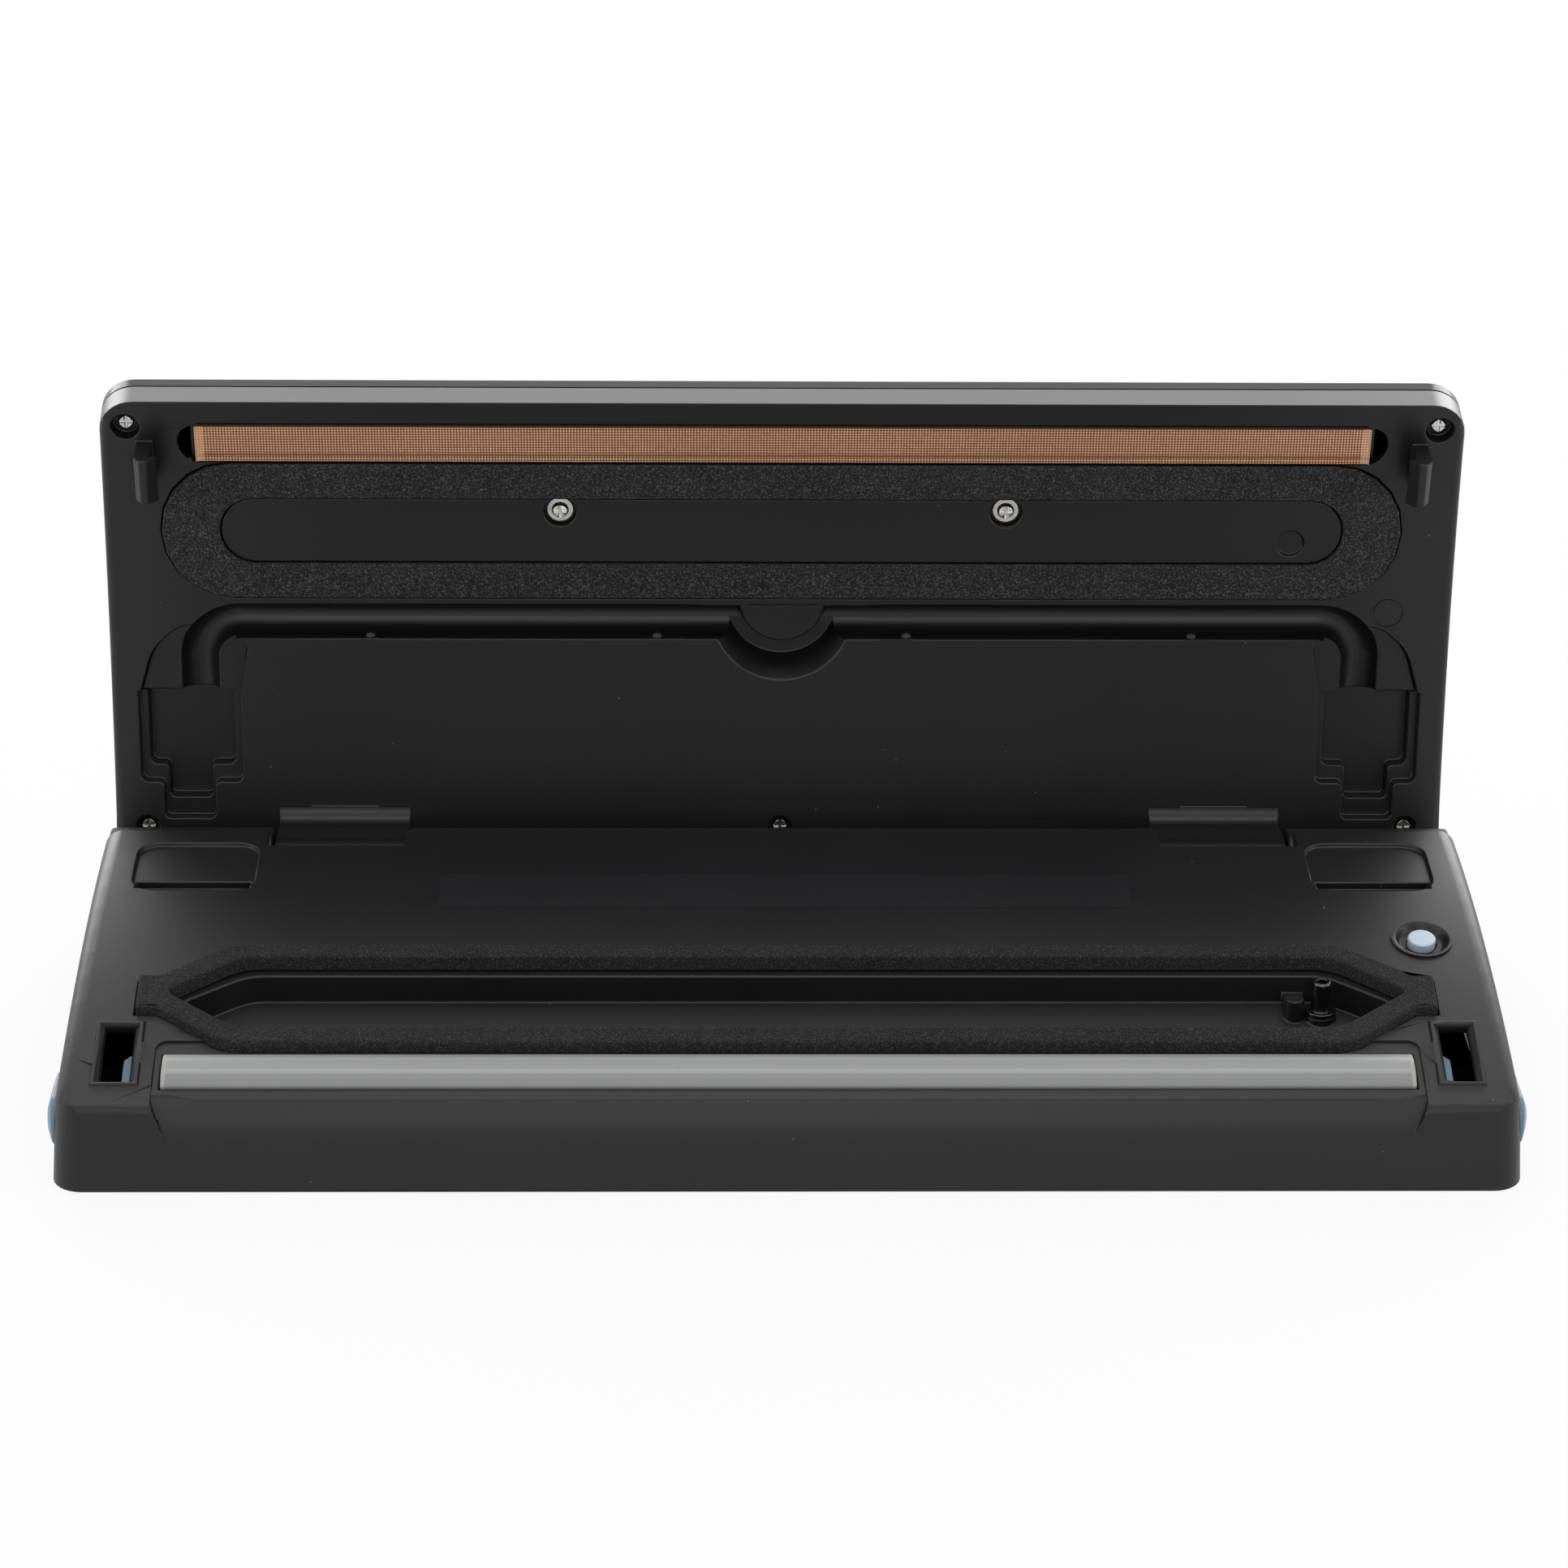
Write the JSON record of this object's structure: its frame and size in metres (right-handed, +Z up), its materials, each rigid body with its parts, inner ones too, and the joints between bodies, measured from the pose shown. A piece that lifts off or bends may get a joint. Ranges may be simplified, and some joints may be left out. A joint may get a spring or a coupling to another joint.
{
  "type": "vacuum sealer",
  "caption": "Countertop vacuum sealer with an open hinged lid, foam gaskets, vacuum trough, sealing strip, heater tape, side release buttons and a canister button.",
  "frame": {"origin": "on the table, under the middle of the machine's bounding box with the lid open", "axes": "+X to the right along the sealing strip, +Y from the front to the hinge, +Z up"},
  "size_m": [0.3722, 0.171, 0.1571],
  "materials": {
    "housing": "fine-grained charcoal plastic",
    "lid_panel": "satin black plastic",
    "lid_gloss": "glossy black plastic",
    "foam": "speckled black foam",
    "silicone": "light grey silicone",
    "tape": "terracotta coated glass-fibre tape",
    "blue_plastic": "blue-grey plastic",
    "pale_plastic": "pale blue plastic",
    "black_rubber": "black rubber",
    "nickel": "nickel-plated steel",
    "steel": "plain steel",
    "board": "green circuit board",
    "copper": "enamelled copper winding",
    "clear_hose": "milky silicone hose",
    "bar": "brown heat-proof plastic",
    "ceramic": "pale ceramic",
    "lens": "milky light pipe",
    "film": "dark film"
  },
  "bodies": {
    "base": {"base_shell": "housing", "bottom_cover": "housing", "rubber_feet": "black_rubber", "base_screws": "nickel", "base_gasket": "foam", "silicone_strip": "silicone", "vacuum_nozzle": "lid_panel", "vacuum_hose": "clear_hose", "pump_head": "housing", "pump_motor": "steel", "pump_cradle": "housing", "transformer_core": "steel", "transformer_coil": "copper", "main_board": "board", "power_inlet": "lid_panel", "inlet_pins": "nickel", "latch_springs": "steel", "microswitches": "lid_panel", "canister_switch": "housing", "hinge_pins": "steel", "notice_film": "film"},
    "lid": {"lid_inner_panel": "lid_panel", "lid_cover": "lid_gloss", "lid_gasket": "foam", "heater_tape": "tape", "heating_ribbon": "steel", "heater_bar": "bar", "thermal_fuse": "ceramic", "lid_screws": "nickel", "lid_washers": "nickel", "control_panel": "film", "control_board": "board", "indicator_lenses": "lens"},
    "left_release": {"left_release_button": "blue_plastic"},
    "right_release": {"right_release_button": "blue_plastic"},
    "canister_key": {"canister_button": "pale_plastic"},
    "seal_button": {"seal_key": "blue_plastic"},
    "vacuum_button": {"vacuum_key": "blue_plastic"},
    "stop_button": {"stop_key": "blue_plastic"}
  },
  "joints": [
    {"name": "lid_hinge", "type": "hinge", "parent": "base", "child": "lid", "pos_m": [0, 0.04379, 0.0298], "axis": [1, 0, 0], "range_deg": [0, 96.2]},
    {"name": "left_release_slide", "type": "slide", "parent": "base", "child": "left_release", "axis": [1, 0, 0], "range_m": [0, 0.0025], "stiffness_N_per_m": 500},
    {"name": "right_release_slide", "type": "slide", "parent": "base", "child": "right_release", "axis": [-1, 0, 0], "range_m": [0, 0.0025], "stiffness_N_per_m": 500},
    {"name": "canister_button_press", "type": "slide", "parent": "base", "child": "canister_key", "axis": [0, 0.1679, -0.9858], "range_m": [0, 0.001], "stiffness_N_per_m": 400},
    {"name": "seal_key_press", "type": "slide", "parent": "lid", "child": "seal_button", "axis": [0, -0.9972, -0.0751], "range_m": [0, 0.0007], "stiffness_N_per_m": 400},
    {"name": "vacuum_key_press", "type": "slide", "parent": "lid", "child": "vacuum_button", "axis": [0, -0.9972, -0.0751], "range_m": [0, 0.0007], "stiffness_N_per_m": 400},
    {"name": "stop_key_press", "type": "slide", "parent": "lid", "child": "stop_button", "axis": [0, -0.9972, -0.0751], "range_m": [0, 0.0007], "stiffness_N_per_m": 400}
  ]
}
